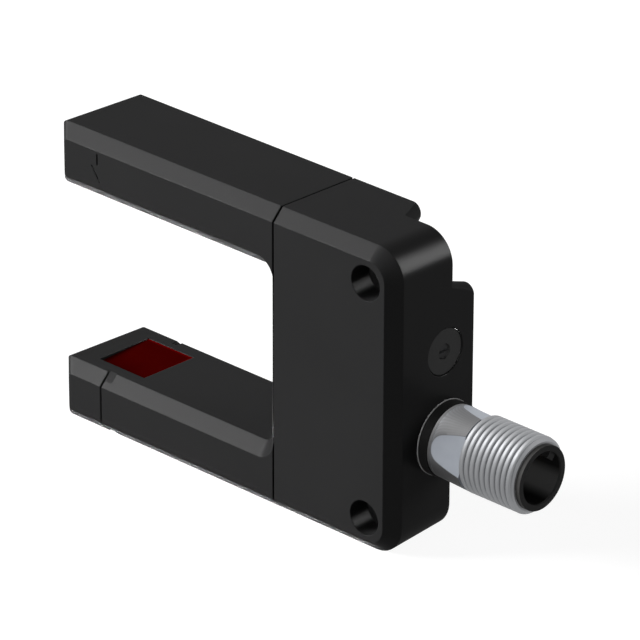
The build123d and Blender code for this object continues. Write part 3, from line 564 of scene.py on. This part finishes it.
def scooped_ring(u, radius):
    """Ring at u with its points gathered on the edges of the three scooped flats."""
    depth = scoop_depth(u)
    half = math.acos(min(depth / radius, 1.0))
    ring = {}
    flats = []
    for angle in sorted(SCOOP_ANGLES):
        centre, facing = round(angle / 360.0 * RING), math.radians(angle)
        for j in range(-SCOOP_SIDE, SCOOP_SIDE + 1):
            swing = half * j / SCOOP_SIDE
            ring[(centre + j) % RING] = (u, depth / math.cos(swing), facing + swing)
        flats.append((centre, facing))
    flats.append((flats[0][0] + RING, flats[0][1] + 2 * math.pi))
    for (centre, facing), (next_centre, next_facing) in zip(flats, flats[1:]):
        start, stop = centre + SCOOP_SIDE, next_centre - SCOOP_SIDE
        first, last = facing + half, next_facing - half
        for index in range(start + 1, stop):
            turn = first + (last - first) * (index - start) / (stop - start)
            ring[index % RING] = (u, radius, turn)
    return [ring[j] for j in range(RING)]


def sleeve_rings():
    """Rings of points from the bore round the stem and along the neck to the thread's start."""
    plain = [
        (BORE_STEP, BORE_RADIUS),
        (BORE_STEP, BACK_BORE),
        (STEM_END, BACK_BORE),
        (STEM_END, STEM_RADIUS),
        (GROOVE_ENDS[0], STEM_RADIUS),
        (GROOVE_ENDS[0], GROOVE_RADIUS),
        (GROOVE_ENDS[1], GROOVE_RADIUS),
        (GROOVE_ENDS[1], STEM_RADIUS),
        (NECK_START, STEM_RADIUS),
        (NECK_START, NECK_START_RADIUS),
    ]
    rings = [plain_ring(u, radius) for u, radius in plain]
    first = SCOOP_CURVE[0][0]
    rings.append(plain_ring(first - SCOOP_LEAD, neck_radius(first - SCOOP_LEAD)))
    for i in range(SCOOP_ROWS + 1):
        u = first + (NECK_END - first) * (i / SCOOP_ROWS) ** SCOOP_CROWDING
        rings.append(scooped_ring(u, neck_radius(u)))
    rings.append(scooped_ring(NECK_END, RELIEF_RADIUS))
    rings.append(scooped_ring(THREAD_START, RELIEF_RADIUS))
    rings.append(plain_ring(THREAD_START, RELIEF_RADIUS))
    return rings


def thread_radius(u, phase):
    """Radius at u, with the phase in pitches from a crest; the thread ends in a chamfer."""
    t = phase - math.floor(phase + 0.5)
    cut = THREAD_RADIUS - THREAD_DEPTH * abs(2 * t) ** THREAD_POWER
    return min(cut, THREAD_RADIUS - max(0.0, u - (THREAD_END - THREAD_CHAMFER)))


def thread_columns():
    """One list of points along the axis for each angle, following the helix between its ends."""
    turns = math.ceil((THREAD_END - THREAD_START) / THREAD_PITCH) + 1
    offsets = [k + t for k in range(-1, turns + 1) for t in THREAD_SAMPLES]
    columns = []
    for j in range(RING):
        lead = j / RING
        column = []
        for offset in offsets:
            u = THREAD_START + THREAD_PITCH * (offset + lead)
            u = min(max(u, THREAD_START), THREAD_END)
            phase = (u - THREAD_START) / THREAD_PITCH - lead
            column.append((u, thread_radius(u, phase), 2 * math.pi * lead))
        columns.append(column)
    return columns


def add_points(mesh, points):
    """Adds points given by place along the axis and radius in millimetres, and turn."""
    return [
        mesh.verts.new((
            FACE_X + u * MM,
            PLUG_Y + radius * MM * math.cos(turn),
            PLUG_Z + radius * MM * math.sin(turn),
        ))
        for u, radius, turn in points
    ]


def bridge(mesh, a, b):
    for j in range(RING):
        k = (j + 1) % RING
        mesh.faces.new((a[j], a[k], b[k], b[j]))


def add_thread(mesh):
    """Adds the thread and returns the rings of points at its two ends."""
    columns = [add_points(mesh, column) for column in thread_columns()]
    top = len(columns[0]) - 1
    for j in range(RING):
        k = (j + 1) % RING
        # The last column meets the first one a whole pitch further on
        shift = len(THREAD_SAMPLES) if k == 0 else 0
        for i in range(top):
            low, high = min(i + shift, top), min(i + 1 + shift, top)
            corners = [columns[j][i], columns[k][low], columns[k][high], columns[j][i + 1]]
            if len(set(corners)) > 2:
                mesh.faces.new(list(dict.fromkeys(corners)))
    return [column[0] for column in columns], [column[-1] for column in columns]


def build_sleeve():
    """Closed mesh of the whole sleeve, from the bore round stem and neck to the thread and back."""
    mesh = bmesh.new()
    rings = [add_points(mesh, ring) for ring in sleeve_rings()]
    for a, b in zip(rings, rings[1:]):
        bridge(mesh, a, b)
    starts, ends = add_thread(mesh)
    bridge(mesh, rings[-1], starts)
    mouth = add_points(mesh, plain_ring(THREAD_END, BORE_RADIUS))
    bridge(mesh, ends, mouth)
    bridge(mesh, mouth, rings[0])

    bmesh.ops.remove_doubles(mesh, verts=mesh.verts, dist=WELD)
    bmesh.ops.dissolve_degenerate(mesh, edges=mesh.edges, dist=WELD)
    bmesh.ops.recalc_face_normals(mesh, faces=mesh.faces)
    sharp = math.radians(SHARP_ANGLE)
    for face in mesh.faces:
        face.smooth = True
    for edge in mesh.edges:
        edge.smooth = len(edge.link_faces) == 2 and edge.calc_face_angle(0.0) < sharp
    data = bpy.data.meshes.new("threaded_sleeve")
    mesh.to_mesh(data)
    mesh.free()
    made = bpy.data.objects.new("threaded_sleeve", data)
    scene.collection.objects.link(made)
    return made


# Stage: the floor's size and its gap under the object in metres, its tones in bouncing light and
# in the lamps' light, its glow, and the strength of the world in bouncing light
FLOOR_SIZE = 12.0
FLOOR_GAP = 0.00002
FLOOR_BOUNCE = grey(0.25)
FLOOR_TONE = grey(0.28)
FLOOR_GLOW = 0.86
WORLD_BOUNCE = 0.06


def by_ray(tree, bounced, seen):
    """Shader that is the seen one for camera, mirror and glass rays, and else the bounced one."""
    path = add_node(tree, "ShaderNodeLightPath")
    direct = path.outputs["Is Camera Ray"]
    for kind in ("Is Glossy Ray", "Is Transmission Ray"):
        either = add_node(tree, "ShaderNodeMath", operation="MAXIMUM")
        tree.links.new(direct, either.inputs[0])
        tree.links.new(path.outputs[kind], either.inputs[1])
        direct = either.outputs[0]
    choice = add_node(tree, "ShaderNodeMixShader")
    for source, socket in zip((direct, bounced, seen), choice.inputs):
        tree.links.new(source, socket)
    return choice.outputs[0]


def add_floor():
    """Pale floor that stays white behind the object and keeps a soft shadow."""
    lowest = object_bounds()[0][2]
    bpy.ops.mesh.primitive_plane_add(size=FLOOR_SIZE, location=(0.0, 0.0, lowest - FLOOR_GAP))
    floor = bpy.context.active_object
    floor.name = "floor"
    material = bpy.data.materials.new("floor_white")
    material.use_nodes = True
    tree = material.node_tree
    tree.nodes.clear()
    output = add_node(tree, "ShaderNodeOutputMaterial")
    plain = add_node(tree, "ShaderNodeBsdfDiffuse", Color=opaque(FLOOR_BOUNCE))
    shadowed = add_node(tree, "ShaderNodeBsdfDiffuse", Color=opaque(FLOOR_TONE))
    glow = add_node(tree, "ShaderNodeEmission", Strength=FLOOR_GLOW)
    both = add_node(tree, "ShaderNodeAddShader")
    tree.links.new(shadowed.outputs[0], both.inputs[0])
    tree.links.new(glow.outputs[0], both.inputs[1])
    tree.links.new(by_ray(tree, plain.outputs[0], both.outputs[0]), output.inputs["Surface"])
    floor.data.materials.append(material)


def add_world():
    """White world whose bouncing light is only a faint fill."""
    world = bpy.data.worlds.new("studio")
    world.use_nodes = True
    tree = world.node_tree
    tree.nodes.clear()
    output = add_node(tree, "ShaderNodeOutputWorld")
    fill, white = [
        add_node(tree, "ShaderNodeBackground", Color=opaque(grey(1.0)), Strength=strength)
        for strength in (WORLD_BOUNCE, 1.0)
    ]
    tree.links.new(by_ray(tree, fill.outputs[0], white.outputs[0]), output.inputs["Surface"])
    scene.world = world


# Lamps: the point that all of them face, the ways from it to each, and distances in metres
LAMP_AIM = Vector((-0.02, 0.008, 0.0))
TO_KEY = (-0.73, -0.59, 0.40)
TO_METAL_KEY = (-0.609, -0.273, 0.745)
TO_BACK_RIGHT = (0.70, 0.657, 0.27)
TO_CHAMFER_CARD = (-0.65, -0.54, 0.54)
TO_CORNER_CARDS = (0.595, 0.657, 0.463)
TO_EDGE_CARD = (-0.609, 0.445, -0.657)
KEY_DISTANCE = 1.4
CARD_DISTANCE = 1.2


def add_softbox(name, way, distance, size, watts, shadow=True, diffuse=True):
    """Rectangular lamp; without diffuse it is a card that shows only as a sheen."""
    data = bpy.data.lights.new(name, "AREA")
    data.shape = "RECTANGLE"
    data.size, data.size_y = size
    data.energy = watts
    data.use_shadow = shadow
    data.cycles.use_multiple_importance_sampling = shadow
    lamp = bpy.data.objects.new(name, data)
    lamp.visible_diffuse = diffuse
    scene.collection.objects.link(lamp)
    heading = Vector(way).normalized()
    lamp.matrix_world = heading.to_track_quat("Z", "Y").to_matrix().to_4x4()
    lamp.location = LAMP_AIM + heading * distance
    return lamp


def add_key(name, way, side, watts, shadow=True):
    return add_softbox(name, way, KEY_DISTANCE, (side, side), watts, shadow)


def add_card(name, way, size, watts, shadow=True):
    return add_softbox(name, way, CARD_DISTANCE, size, watts, shadow, diffuse=False)


def light_only(lamp, receivers, state="INCLUDE"):
    """Keeps the lamp's light to the receivers, or off them with the state EXCLUDE."""
    group = bpy.data.collections.new(lamp.name + "_receivers")
    for receiver in receivers:
        group.objects.link(receiver)
    for member in group.collection_objects:
        member.light_linking.link_state = state
    lamp.light_linking.receiver_collection = group


def add_lamps(sleeve):
    """Lamps of the photograph: metal_key lights only the sleeve, and the cards only the housing."""
    front_key = add_key("front_key", TO_KEY, side=0.6, watts=32.0)
    front_fill = add_key("front_fill", TO_KEY, side=1.2, watts=10.0, shadow=False)
    metal_key = add_key("metal_key", TO_METAL_KEY, side=0.5, watts=30.0, shadow=False)
    add_softbox("back_right", TO_BACK_RIGHT, CARD_DISTANCE, size=(0.60, 0.60), watts=4.0)
    cards = (
        add_card("chamfer_card", TO_CHAMFER_CARD, size=(0.30, 0.50), watts=8.0),
        add_card("corner_card", TO_CORNER_CARDS, size=(0.36, 1.10), watts=18.0),
        add_card("hole_card", TO_CORNER_CARDS, size=(0.30, 1.10), watts=19.0, shadow=False),
        add_card("edge_card", TO_EDGE_CARD, size=(0.60, 0.60), watts=6.0, shadow=False),
    )
    shells = [nodes[name] for name in ("body_housing", "upper_arm", "lower_arm", "lower_tip_cap")]
    for card in cards:
        light_only(card, shells)
    light_only(metal_key, [sleeve])
    for lamp in (front_key, front_fill):
        light_only(lamp, [sleeve], "EXCLUDE")


add_camera()
materials = make_materials()
dress_nodes(materials)

sleeve = build_sleeve()
sleeve.data.materials.append(materials["sleeve_metal"])
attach(sleeve, "housing")
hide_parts("connector_sleeve")

add_world()
add_floor()
add_lamps(sleeve)

scene.view_settings.view_transform = "Standard"
